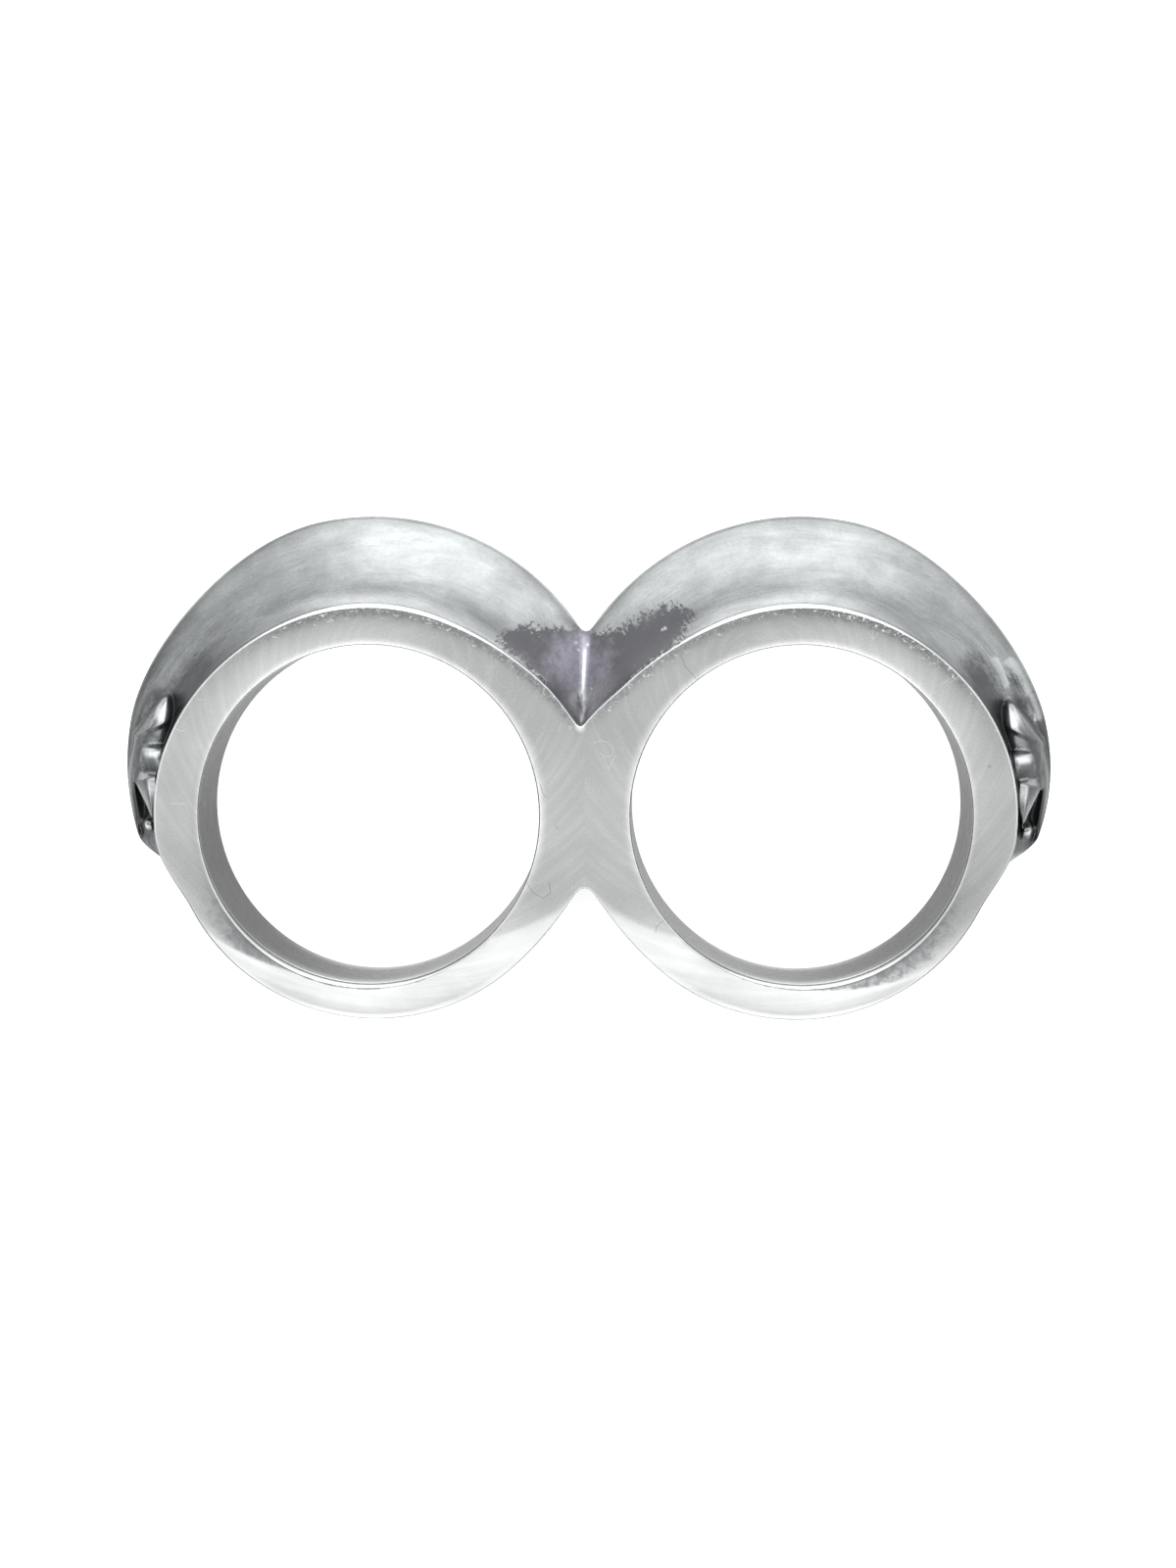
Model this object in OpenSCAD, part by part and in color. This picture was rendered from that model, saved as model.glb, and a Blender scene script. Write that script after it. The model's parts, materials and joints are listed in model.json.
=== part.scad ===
// A double ring, cast in one piece, that is worn on two neighbouring fingers.
// It lies on one side face: X runs from finger to finger, Y towards the
// knuckles, and Z along the fingers. Sizes are in millimetres.

/* [Finger holes] */
// Inside diameter of each finger hole
bore_d = 19; // [18.5:0.25:19.5]
// Distance between the centres of the two finger holes
hole_pitch = 24.1; // [23.7:0.1:24.6]
// Width of the bevel round each mouth of a finger hole
bore_bevel = 0.3; // [0.1:0.05:0.5]

/* [Band] */
// Width of the band along the fingers, over most of its height
band_w = 9; // [8:0.25:10]
// Width of the band at its palm side
palm_w = 6.4; // [5.5:0.1:7.5]
// How far below the holes' centres the side faces begin to curve in
taper_start = 4.2; // [3:0.1:6]
// Thickness of the rim at the knuckle side of a hole
rim_t = 2.05; // [1.9:0.05:2.3]
// How much thicker the rim is at the outer ends
end_swell = 0.45; // [0.2:0.05:0.6]
// Thickness of the band at its palm side
palm_t = 2.2; // [2.1:0.05:2.5]
// How far the palm side's arcs lie towards the middle
palm_shift = 0.3; // [0:0.05:0.5]
// How much the palm side's outer face is domed across its width
palm_dome = 0.2; // [0:0.05:0.3]

/* [Bridge] */
// Height of the groove's point on a side face above the holes' centres
groove_rise = 4.85; // [4.5:0.05:5.2]
// Depth at which the palm side's arcs meet below the holes' centres
notch_drop = 3.45; // [3.2:0.05:3.7]
// Half the width that is rounded off at the groove's point
point_round = 0.2; // [0.1:0.05:0.4]
// Half the width that is rounded off between the two crests
crest_round = 0.45; // [0.3:0.05:0.8]
// Half the width that is rounded off at the palm side's notch
notch_round = 0.7; // [0.4:0.05:1]

/* [Crowns] */
// Radius of each crown's crest, seen along the fingers
crest_r = 14; // [13.7:0.05:14.3]
// Height of the crest's centre above the hole's centre
crest_lift = 2.6; // [2.3:0.05:2.9]
// How much the outer shoulder is flattened
shoulder_flat = 0.4; // [0:0.05:0.6]
// Width of the land along the crest
land_w = 1.2; // [0.8:0.1:2]
// How hollow the crown's flanks are: 1 is straight
dish = 1.55; // [1:0.05:2]
// Angle below the hole's centre at which the crest starts to die out
fade_from = 6; // [4:1:9]
// Angle below the hole's centre at which the crown has run into the band
fade_to = 18; // [15:1:22]

/* [Relief] */
// Scale of the height of the leaves on the outer ends
relief_scale = 1; // [0.5:0.05:1.2]

/* [Hidden] */

bore_r = bore_d / 2;
half_pitch = hole_pitch / 2;
half_w = band_w / 2;
rim_r = bore_r + rim_t;
palm_r = bore_r + palm_t;
crest_top = crest_lift + crest_r;
// The origin is under the middle of the ring's bounding box.
hole_y = (palm_r - crest_top) / 2;

// Angles round a hole, with 0 at the outer end and 90 at the knuckle side.
// The rim swells between the first two and passes into the palm side's arc
// between the next two. The shoulder is flat about the last, over SHOULDER_W.
SWELL_FROM = 70;
SWELL_TO = 5;
PALM_FROM = -6;
PALM_TO = -28;
SHOULDER = 50;
SHOULDER_W = 30;

// How far from the vertical the rim's and the palm side's circles leave for
// the arcs that meet in the middle.
GROOVE_TURN = 20;
NOTCH_TURN = 42;

// The side faces curve in along an arc from taper_start to the palm.
taper_run = palm_r - taper_start;
taper_in = (band_w - palm_w) / 2;
taper_r = (taper_run * taper_run + taper_in * taper_in) / (2 * taper_in);

// The skin runs past the side faces by TRIM before it is trimmed, and what
// trims and bores it stands over its ends by OVER. Two shapes that join lap
// over each other by LAP.
TRIM = 0.4;
OVER = 1;
LAP = 0.01;

// The leaves and beads on an outer end, a row for each on the upper half of
// the band's width; the lower half mirrors them. ALONG is the arc height
// above the holes' centre line, and ACROSS the distance from the crest's
// middle. TURN tips the upper end towards the side face, and POINT narrows
// it, or widens it where it is negative.
ALONG = 0;
ACROSS = 1;
HALF_L = 2;
HALF_W = 3;
RISE = 4;
TURN = 5;
POINT = 6;
RELIEF_R = 13;
// The least share of its width that a leaf narrows to.
LEAST_WIDTH = 0.1;
LEAVES = [
    [5.1, 2.35, 1.6, 1.25, 0.95, 4, 0.5],
    [2.75, 2.65, 0.8, 1.35, 0.85, 0, 0],
    [0.75, 2.65, 1.45, 1.3, 0.95, -8, -0.5],
    [-1.15, 2.8, 0.65, 0.85, 0.65, 0, 0]
];
// A plate that lies on the right-hand end alone, beside the crest.
PLATE = [7.4, 1.45, 1.9, 0.75, 0.2, -8, 0];
// The middle and the half length and width of the ground that the leaves
// stand in, which is sunk by GROUND_DEPTH.
GROUND = [2.2, 2.5, 5.4, 1.85];
GROUND_DEPTH = 0.5;

// Counts along the skin: the arcs beside the groove and the notch, what is
// rounded there, the stretches round a hole, and a flank.
N_GROOVE = 11;
N_NOTCH = 10;
N_ROUNDED = 3;
ROUND = [[90, 34, 9], [34, -20, 42], [-20, -90, 11]];
N_FLANK = 13;

// The step over which the slope beside a rounded stretch is measured.
SLOPE_STEP = 0.001;

BORE_FN = 96;
SIDE_FN = 128;

function smooth(a, b, x) = let (t = min(1, max(0, (x - a) / (b - a)))) t * t * (3 - 2 * t);
function mix(a, b, t) = a + (b - a) * t;

// A bump of height 1 about middle, which dies out at reach on either side.
function bump(x, middle, reach) = let (t = min(1, abs(x - middle) / reach)) pow(1 - t * t, 2);

// How far a crown stands out at a distance z from the crest's middle: 0 at the
// side faces and 1 along the crest.
function stand(z) =
    let (depth = (half_w - abs(z)) / (half_w - land_w / 2))
    pow(min(1, max(0, depth)), dish);

// The radius of the palm side's arc at that distance.
function palm_at(z) = palm_r - palm_dome * pow(min(1, abs(z) / half_w), 2);

// Height of one leaf of the relief over the skin.
function leaf_height(leaf, along, across) =
    let (
        dx = along - leaf[ALONG],
        dy = across - leaf[ACROSS],
        u = (dx * cos(leaf[TURN]) + dy * sin(leaf[TURN])) / leaf[HALF_L],
        wide = leaf[HALF_W] * max(LEAST_WIDTH, 1 - leaf[POINT] * u),
        v = (dy * cos(leaf[TURN]) - dx * sin(leaf[TURN])) / wide,
        d = u * u + v * v
    )
    leaf[RISE] * max(0, 1 - d);

// Height of the whole relief at an angle round the hole and a distance z.
function relief(leaves, angle, z) =
    let (
        along = angle * PI / 180 * RELIEF_R,
        across = abs(z),
        sunk = GROUND_DEPTH * bump(along, GROUND[ALONG], GROUND[HALF_L])
            * bump(across, GROUND[ACROSS], GROUND[HALF_W])
    )
    relief_scale * (max([for (leaf = leaves) leaf_height(leaf, along, across)]) - sunk);

// Radii round a hole's centre: the rim, the palm side, the crest and the skin.
function rim_skin(angle) = rim_r + end_swell * smooth(SWELL_FROM, SWELL_TO, angle);

function palm_skin(angle, z) =
    sqrt(pow(palm_at(z), 2) - pow(palm_shift * sin(angle), 2)) - palm_shift * cos(angle);

function crest_skin(angle) =
    crest_lift * sin(angle) + sqrt(crest_r * crest_r - pow(crest_lift * cos(angle), 2))
        - shoulder_flat * bump(angle, SHOULDER, SHOULDER_W);

function skin_r(leaves, angle, z) =
    let (
        out = stand(z) * smooth(-fade_to, -fade_from, angle),
        band = mix(palm_skin(angle, z), rim_skin(angle), smooth(PALM_TO, PALM_FROM, angle))
    )
    mix(band, crest_skin(angle), out) + relief(leaves, angle, z);

// Height above a line of centres at a distance x from the middle. A circle
// about [cx, 0] is followed down to the angle turn from the vertical, and from
// there an arc that touches it leads to the height meet at the middle.
function bridge(x, cx, r, turn, meet) =
    let (
        reach = cx * sin(turn) + meet * cos(turn),
        arc_r = (cx * cx + meet * meet - 2 * r * reach + r * r) / (2 * (r - reach)),
        arc_x = cx + (arc_r - r) * sin(turn),
        arc_y = (r - arc_r) * cos(turn)
    )
    x > cx - r * sin(turn)
        ? sqrt(r * r - (x - cx) * (x - cx))
        : arc_y + sqrt(arc_r * arc_r - (x - arc_x) * (x - arc_x));

// Height of the skin between the crowns, and of the skin beside the notch.
function groove(x, z) =
    mix(bridge(x, half_pitch, rim_r, GROOVE_TURN, groove_rise),
        crest_lift + sqrt(crest_r * crest_r - (x - half_pitch) * (x - half_pitch)),
        stand(z));

function notch(x, z) = bridge(x, half_pitch - palm_shift, palm_at(z), NOTCH_TURN, notch_drop);

// The points on the skin from the middle to above or below a hole's centre.
// side is 1 for the groove and -1 for the notch, and the stretch nearest the
// middle, up to x = reach, is rounded with a parabola.
function bridge_points(z, side, reach, n) =
    let (
        height = function (x) side > 0 ? groove(x, z) : notch(x, z),
        slope = (height(reach + SLOPE_STEP) - height(reach)) / SLOPE_STEP,
        foot = height(reach) - slope * reach / 2
    )
    [
        for (i = [0 : N_ROUNDED - 1])
            let (x = reach * i / N_ROUNDED)
            [x, side * (foot + slope * x * x / (2 * reach))],
        for (i = [0 : n])
            let (x = mix(reach, half_pitch, i / n))
            [x, side * height(x)]
    ];

// The right half of the outline at a distance z from the crest's middle, from
// the groove over the crown and the outer end to the notch.
function half_outline(leaves, z) =
    let (
        upper = bridge_points(z, 1, mix(point_round, crest_round, stand(z)), N_GROOVE),
        lower = bridge_points(z, -1, notch_round, N_NOTCH),
        last = len(lower) - 1
    )
    [
        each upper,
        for (s = ROUND, i = [1 : s[2]])
            let (a = mix(s[0], s[1], i / s[2]), r = skin_r(leaves, a, z))
            [half_pitch + r * cos(a), r * sin(a)],
        for (i = [1 : last]) lower[last - i]
    ];

// The whole outline, clockwise seen from above.
function outline(z) =
    let (
        right = half_outline([each LEAVES, PLATE], z),
        left = half_outline(LEAVES, z)
    )
    [each right, for (i = [len(left) - 2 : -1 : 1]) [-left[i][0], left[i][1]]];

// Distances from the crest's middle at which the outline is taken.
function levels() =
    let (
        flank = [for (i = [0 : N_FLANK]) mix(half_w, land_w / 2, i / N_FLANK)],
        upper = [half_w + TRIM, each flank]
    )
    [each upper, 0, for (i = [len(upper) - 1 : -1 : 0]) -upper[i]];

// The ring's outer skin as one closed solid.
module skin() {
    heights = levels();
    rings = [for (z = heights) outline(z)];
    n = len(rings[0]);
    last = len(rings) - 1;
    points = [for (j = [0 : last], p = rings[j]) [p[0], p[1], heights[j]]];
    sides = [
        for (j = [0 : last - 1], i = [0 : n - 1])
            let (a = j * n + i, b = j * n + (i + 1) % n)
            each [[a, a + n, b + n], [a, b + n, b]]
    ];
    top = [for (i = [0 : n - 1]) i];
    bottom = [for (i = [n - 1 : -1 : 0]) last * n + i];
    polyhedron(points, [top, bottom, each sides], convexity = 8);
}

// The space between the side faces, which curve in towards the palm.
module side_faces() {
    rotate([90, 0, 90])
        linear_extrude(hole_pitch + 2 * (crest_r + OVER), center = true)
            union() {
                translate([-taper_start, -half_w])
                    square([crest_top + OVER + taper_start, band_w]);
                intersection() {
                    translate([-palm_r - OVER, -half_w])
                        square([taper_run + OVER + LAP, band_w]);
                    translate([-taper_start, half_w - taper_r])
                        circle(taper_r, $fn = SIDE_FN);
                    translate([-taper_start, taper_r - half_w])
                        circle(taper_r, $fn = SIDE_FN);
                }
            }
}

// What is cut away for one finger: the hole and the bevels at its mouths.
module finger_hole() {
    cylinder(h = band_w + 2 * OVER, r = bore_r, center = true, $fn = BORE_FN);
    for (side = [0, 1])
        mirror([0, 0, side])
            translate([0, 0, half_w - bore_bevel])
                cylinder(h = 2 * bore_bevel, r1 = bore_r, r2 = bore_r + 2 * bore_bevel, $fn = BORE_FN);
}

module double_ring() {
    color("silver")
        translate([0, hole_y, half_w])
            difference() {
                intersection() {
                    skin();
                    side_faces();
                }
                for (x = [-half_pitch, half_pitch])
                    translate([x, 0, 0]) finger_hole();
            }
}

double_ring();
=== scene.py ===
"""Scene of a cast silver double ring, lying on one side face on a pale floor.

The ring is one mesh that stands for the CAD node of the same shape. It repeats
the node's formulas on a finer grid and adds the rounded edges, the worn facets
at the palm side and the crisp leaves and beads of the outer ends. Sizes are in
millimetres about the middle of the ring: X from finger to finger, Y from the
holes' centre line towards the knuckles, Z along the fingers.
"""

import json
import math

import bmesh
import bpy
import numpy as np
from mathutils import Matrix, Vector


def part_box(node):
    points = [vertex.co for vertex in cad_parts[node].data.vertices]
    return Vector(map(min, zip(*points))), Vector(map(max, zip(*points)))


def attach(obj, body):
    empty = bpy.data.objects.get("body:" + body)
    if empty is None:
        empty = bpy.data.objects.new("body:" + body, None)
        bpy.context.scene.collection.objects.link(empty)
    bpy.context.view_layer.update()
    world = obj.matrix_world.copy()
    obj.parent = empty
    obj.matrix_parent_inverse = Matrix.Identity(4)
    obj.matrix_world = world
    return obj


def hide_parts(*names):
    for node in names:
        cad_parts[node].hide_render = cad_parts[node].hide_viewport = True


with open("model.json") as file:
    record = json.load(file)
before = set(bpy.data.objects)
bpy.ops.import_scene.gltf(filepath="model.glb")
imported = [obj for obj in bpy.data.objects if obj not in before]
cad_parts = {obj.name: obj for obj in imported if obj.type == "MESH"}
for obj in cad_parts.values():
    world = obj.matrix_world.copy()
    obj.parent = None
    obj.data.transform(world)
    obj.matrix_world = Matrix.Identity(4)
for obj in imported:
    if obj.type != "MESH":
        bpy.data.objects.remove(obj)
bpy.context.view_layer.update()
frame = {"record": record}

MM = 0.001
PHOTO_W = 1200

# Sizes that the frame gives: the finger holes, and the width of the band.
hole = next(m for m in frame["record"]["mounts"] if m["name"] == "right_finger_hole")
BORE_R = hole["dims"]["r_mm"]
HALF_PITCH = hole["pos_m"][0] / MM
HOLE_Y = hole["pos_m"][1] / MM
HALF_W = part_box("double_ring")[1].z / MM / 2

# The band: the rim and the palm side's arcs.
RIM_R = BORE_R + 2.05
END_SWELL = 0.45
PALM_R = BORE_R + 2.2
PALM_SHIFT = 0.3
PALM_DOME = 0.2

# The bridge: where the groove and the notch meet, and what is rounded there.
GROOVE_RISE = 4.85
NOTCH_DROP = 3.45
POINT_ROUND = 0.2
CREST_ROUND = 0.45
NOTCH_ROUND = 0.7
GROOVE_TURN = math.radians(20)
NOTCH_TURN = math.radians(42)

# The crowns: the crest, the land along it and the hollow flanks.
CREST_R = 14
CREST_LIFT = 2.6
SHOULDER_FLAT = 0.4
LAND_W = 1.2
DISH = 1.55

# Angles in degrees round a hole, with 0 at the outer end and 90 at the
# knuckle side: where the crowns die out, the rim swells, the band turns into
# the palm side's arc, and the shoulder is flattened.
FADE = (-18, -6)
SWELL = (70, 5)
PALM = (-28, -6)
SHOULDER = (50, 30)

# The side faces curve in towards the palm from TAPER_START, by TAPER_IN, and
# have a facet there that is worn flat. Its edge is an arc on the inner side of
# a hole and another on the outer side of the left and of the right hole, each
# given by its centre, about the hole's, and its radius. The one turns into the
# other between the places FACET_BLEND beside a hole's centre.
TAPER_START = 4.2
TAPER_IN = 1.0
FACET_INNER = (-2.0, 8.4, 16.1)
FACET_OUTER = {-1: (0.1, 6.6, 16.0), 1: (1.2, 6.4, 16.28)}
FACET_BLEND = (-5, 1.5)
FACET_SLOPE = math.tan(math.radians(8))
FACET_SOFT = 0.12

# How far the side faces roll off beside a hole and beside the rim, and over
# what width.
BORE_ROLL = (0.005, 0.4)
RIM_ROLL = (0.015, 0.7)

# The edges are worn rounder at some angles: least size, what is added there,
# and the middle and the reach of that stretch. One for the bevel of the holes
# and one for the edge between a side face and the skin.
BEVEL_WEAR = (0.09, 0.22, (-72, 75))
EDGE_WEAR = (0.09, 0.09, (94, 42))

# The section of the holes' bevel: 1 would be a quarter circle, 2 a flat cut.
BEVEL_FLATNESS = 1.4

# How far the rim stands higher than the node's at the knuckle side, and where.
RIM_LIFT = 0.17
RIM_LIFTED = (92, 58)

# How far the crown's right outer end stands beyond the node's, and where.
END_LIFT = 0.2
END_LIFTED = (5, 27)

# How far the groove's point lies to the left on the side faces, how far beside
# it the silver moves along, and the heights between which the move sets in.
POINT_SHIFT = 0.25
POINT_REACH = 2.2
POINT_HEIGHTS = (1, 4.5)

# Rows round the ring. The stretch that carries the leaves has close rows.
N_ROUNDED = 5
N_GROOVE = 28
N_NOTCH = 24
ARCS = ((90, 44, 26), (44, -13, 136), (-13, -90, 38))
N_MIDDLE = 12

# Columns across one half of the band's section. The face has N_FACE on each side
# of the worn facet's edge, and the edge's last ones look like the skin.
N_BORE = 6
N_BEVEL = 5
N_FACE = 8
N_EDGE = 5
N_EDGE_SKIN = 2
N_FLANK = 40
N_LAND = 3

# Columns up to the rim, up to the middle of the crest, all the way round the
# section, and round that of the middle rows.
N_HOLE = N_BORE + N_BEVEL + 2 * N_FACE + 1
N_COLUMNS = N_HOLE + N_EDGE + N_FLANK + N_LAND
SPAN = 2 * N_COLUMNS - 2
WEB_SPAN = 2 * N_HOLE - 1

# How rows and columns crowd at the middle line, at a hole's mouth and on both
# sides of the worn facet's edge. 1 would space them evenly.
CROWD_MIDDLE = 1.2
CROWD_MOUTH = 2.2
CROWD_INNER = 1.7
CROWD_OUTER = 1.4

# Points tried on a row of the side face to find the worn facet's edge, and the
# shares of the row between which its column stays.
N_TRIED = 81
CROSSING_LIMITS = (0.12, 0.88)

# Rounds in which the outline's places and heights settle.
N_SETTLING = 4

# What the mesh's points carry for the materials, and the materials' slots.
# Among them are painted light and shade, painted highlights that are partly real wear, and a painted
# dark reflection beside the holes.
ATTRIBUTES = ("oxide", "polish_and_highlight", "lit_tone", "stain", "scuff", "dark_reflection")
FACE_SLOT = 0
SKIN_SLOT = 1
BORE_SLOT = 2

# Points closer than this, in metres, are merged.
SAME_POINT = 1e-7


def clamp(x):
    return np.clip(x, 0.0, 1.0)


def smooth(a, b, x):
    t = clamp((x - a) / (b - a))
    return t * t * (3 - 2 * t)


def mix(a, b, t):
    return a + (b - a) * t


def bump(x, middle, reach):
    t = np.minimum(1.0, np.abs(x - middle) / reach)
    return (1 - t * t) ** 2


def joined(*columns):
    return np.concatenate(columns, axis=1)


def root(x):
    return np.sqrt(np.maximum(0.0, x))


def within(x, limits):
    """1 between two soft limits, each given by where it is 0 and where 1."""
    return smooth(*limits[0], x) * smooth(*limits[1], x)


def turn_at(x, y):
    """Angle in degrees of a point about a hole's centre, 0 at the outer end."""
    return np.degrees(np.arctan2(y, x))


def worn(wear, x, y):
    """Size of a worn edge at a point about a hole's centre."""
    least, more, stretch = wear
    return least + more * bump(turn_at(x, y), *stretch)


# The skin's formulas, which are those of the CAD node


def stand(z):
    """How far a crown stands out: 0 at the side faces and 1 along the crest."""
    return clamp((HALF_W - np.abs(z)) / (HALF_W - LAND_W / 2)) ** DISH


def palm_at(z):
    return PALM_R - PALM_DOME * np.minimum(1.0, np.abs(z) / HALF_W) ** 2


def skin_radius(angle, z):
    """Radius of the skin round a hole's centre, without the relief."""
    a = np.radians(angle)
    rim = RIM_R + END_SWELL * smooth(*SWELL, angle) + RIM_LIFT * bump(angle, *RIM_LIFTED)
    palm = root(palm_at(z) ** 2 - (PALM_SHIFT * np.sin(a)) ** 2) - PALM_SHIFT * np.cos(a)
    crest = CREST_LIFT * np.sin(a) + root(CREST_R**2 - (CREST_LIFT * np.cos(a)) ** 2)
    crest = crest - SHOULDER_FLAT * bump(angle, *SHOULDER)
    band = mix(palm, rim, smooth(*PALM, angle))
    return mix(band, crest, stand(z) * smooth(*FADE, angle))


def bridge(x, cx, r, turn, meet):
    """Height of a circle about cx and of the arc that leads on to the middle."""
    reach = cx * math.sin(turn) + meet * math.cos(turn)
    arc_r = (cx * cx + meet * meet - 2 * r * reach + r * r) / (2 * (r - reach))
    arc_x = cx + (arc_r - r) * math.sin(turn)
    arc_y = (r - arc_r) * math.cos(turn)
    round_part = root(r * r - (x - cx) ** 2)
    arc_part = arc_y + root(arc_r * arc_r - (x - arc_x) ** 2)
    return np.where(x > cx - r * math.sin(turn), round_part, arc_part)


def groove(x, z):
    low = bridge(x, HALF_PITCH, RIM_R, GROOVE_TURN, GROOVE_RISE)
    low = low + RIM_LIFT * bump(turn_at(x - HALF_PITCH, low), *RIM_LIFTED)
    high = CREST_LIFT + root(CREST_R**2 - (x - HALF_PITCH) ** 2)
    return mix(low, high, stand(z))


def notch(x, z):
    return bridge(x, HALF_PITCH - PALM_SHIFT, palm_at(z), NOTCH_TURN, NOTCH_DROP)


def bridge_rows(height, z, reach, count):
    """Rows from the middle to a hole's centre; the first are rounded off."""
    step = 0.001
    u = (np.arange(N_ROUNDED) / N_ROUNDED)[:, None]
    v = (np.linspace(0, 1, count + 1) ** CROWD_MIDDLE)[:, None]
    z_round = z[:N_ROUNDED]
    r_round = reach[:N_ROUNDED]
    slope = (height(r_round + step, z_round) - height(r_round, z_round)) / step
    foot = height(r_round, z_round) - slope * r_round / 2
    x_round = r_round * u
    x_plain = mix(reach[N_ROUNDED:], HALF_PITCH, v)
    y_round = foot + slope * x_round**2 / (2 * r_round)
    y_plain = height(x_plain, z[N_ROUNDED:])
    return np.concatenate([x_round, x_plain]), np.concatenate([y_round, y_plain])


def arc_angles():
    """Angles of the rows that lie between the two bridge stretches."""
    parts = [np.linspace(a, b, n + 1)[1:] for a, b, n in ARCS]
    return np.concatenate(parts)[:-1]


ANGLES = arc_angles()
N_UPPER = N_ROUNDED + N_GROOVE + 1
N_LOWER = N_ROUNDED + N_NOTCH + 1
N_ROWS = N_UPPER + len(ANGLES) + N_LOWER


def skin_xy(z):
    """The skin's points for a height z in each row, from the groove outwards."""
    first = z[:N_UPPER]
    middle = z[N_UPPER : N_ROWS - N_LOWER]
    last = z[N_ROWS - N_LOWER :][::-1]
    x_up, y_up = bridge_rows(groove, first, mix(POINT_ROUND, CREST_ROUND, stand(first)), N_GROOVE)
    x_low, y_low = bridge_rows(notch, last, np.full_like(last, NOTCH_ROUND), N_NOTCH)
    r = skin_radius(ANGLES[:, None], middle)
    a = np.radians(ANGLES)[:, None]
    x = np.concatenate([x_up, HALF_PITCH + r * np.cos(a), x_low[::-1]])
    y = np.concatenate([y_up, r * np.sin(a), -y_low[::-1]])
    return x, y


def past_facet(x, y, side):
    """Distance beyond the edge of the worn facet, about a hole's centre."""
    share = smooth(*FACET_BLEND, x)
    cx, cy, r = (mix(a, b, share) for a, b in zip(FACET_INNER, FACET_OUTER[side]))
    return np.hypot(x - cx, y - cy) - r


def face_z(x, y, side):
    """Height of the near side face: flat, then curved in towards the palm."""
    run = PALM_R - TAPER_START
    arc_r = (run * run + TAPER_IN * TAPER_IN) / (2 * TAPER_IN)
    down = np.maximum(0.0, -TAPER_START - y)
    taper = arc_r - root(arc_r**2 - down**2)
    past = past_facet(x - HALF_PITCH, y, side)
    facet = FACET_SLOPE * (past + np.sqrt(past**2 + FACET_SOFT**2)) / 2
    return HALF_W - taper - facet


# The leaves and beads of the outer ends. They stand on a sunk ground, and their
# tops lie on a cone round the hole, TOP_DEPTH under the side face at TOP_R.
# Each is a mound whose foot goes on below the ground, so that they meet in
# clean lines. Points are given about a hole's centre, X away from the middle,
# and a soft limit by where it is 0 and where it is 1. All of it sets in a little
# below the rim's edge, which nothing overtops, and ends before the land.
ROOM_BELOW_EDGE = (0.02, 0.3)
ROOM_BEFORE_LAND = 0.4
RELIEF_DROP = 0.12
GROUND_DEPTH = 0.5
GROUND_Y = ((-1.9, -1.2), (7.0, 6.0))
GROUND_R = ((11.6, 12.3), (14.3, 13.4))
TOP_DEPTH = 0.5
TOP_R = 12.0
TOP_SLOPE = 0.5
RELIEF_SHIFT = {-1: (0.0, 0.0), 1: (0.2, -0.28)}

# The leaf: half its width at the tip and what the foot adds, how far the ridge
# rises from the tip, how low that lies, and how deep the slanting cut is.
LEAF_TIP = (11.4, 6.5)
LEAF_FOOT = (12.2, 3.95)
LEAF_HALF = (0.2, 0.8)
LEAF_RISE = 0.45
LEAF_TIP_DROP = 0.15
LEAF_CUT = (11.95, 4.8)
LEAF_CUT_TURN = math.radians(64)
LEAF_CUT_DROP = 0.36

# The beads: middle, half sizes and height, and how far their highest line lies
# above the middle, as a share of the half size.
BEAD = (12.3, 3.0)
BEAD_HALF = (1.0, 0.95)
BEAD_HEIGHT = 0.2
SMALL_BEAD = (12.4, -0.65)
SMALL_BEAD_HALF = (0.34, 0.32)
SMALL_BEAD_HEIGHT = -0.05
BEAD_LEAN = 0.45

# The lobe: what its outer and inner half lose in width down to the tip and what
# is left there, how high its top is and how much lower the tip.
LOBE_TOP = (12.45, 2.0)
LOBE_TIP = (12.15, -0.2)
LOBE_OUTER = (0.85, 0.06)
LOBE_INNER = (0.55, 0.08)
LOBE_HEIGHT = 0.2
LOBE_DROP = 0.15

# The hollow beside the lobe, with half its width at the top and at the end.
HOLLOW_TOP = (13.3, 1.6)
HOLLOW_END = (12.8, -0.55)
HOLLOW_HALF = (0.16, 0.42)
HOLLOW_ENDS = ((-0.05, 0.15), (1.05, 0.85))
HOLLOW_DEPTH = 0.7

# The heights over which the relief is marked dark or given its painted highlight,
# the gap above the left bead by its middle and half sizes, and the play in comparing heights.
MARKED_Y = ((-1.9, -1.3), (7.3, 6.3))
LEFT_GAP = ((12.2, 4.35), (0.8, 0.35))
SAME_HEIGHT = 0.01

# Painted highlight spots on the tops: middle, half sizes and level.
HIGHLIGHT_SPOTS = (
    ((11.65, 5.7), (0.6, 0.85), 1.0),
    ((12.2, 3.4), (0.75, 0.35), 1.0),
    ((12.1, 1.5), (0.5, 0.8), 0.48),
    ((12.5, -0.75), (0.3, 0.3), 0.5),
)

# How low the dark stretch below the relief reaches.
BELOW_END = {-1: -2.9, 1: -1.7}

# The darker stretch of the skin that leads to the leaf: its upper end and
# lower end, half its width and how dark it is.
SHADE = {
    -1: ((8.2, 9.9), (11.1, 6.1), 1.4, 1.0),
    1: ((9.2, 9.4), (11.05, 5.3), 1.3, 1.1),
}

# Low plates above the right leaf: the two ends of each, half its width and how
# strong its painted highlight is. Then the middle and half sizes of the dark skin round them.
PLATES = (
    ((11.7, 8.65), (13.1, 6.8), 0.32, 0.42),
    ((10.8, 8.7), (11.55, 7.05), 0.18, 0.24),
    ((13.1, 6.7), (13.5, 5.15), 0.24, 0.36),
)
ROUND_PLATES = ((11.9, 7.4), (1.5, 2.0))


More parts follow.
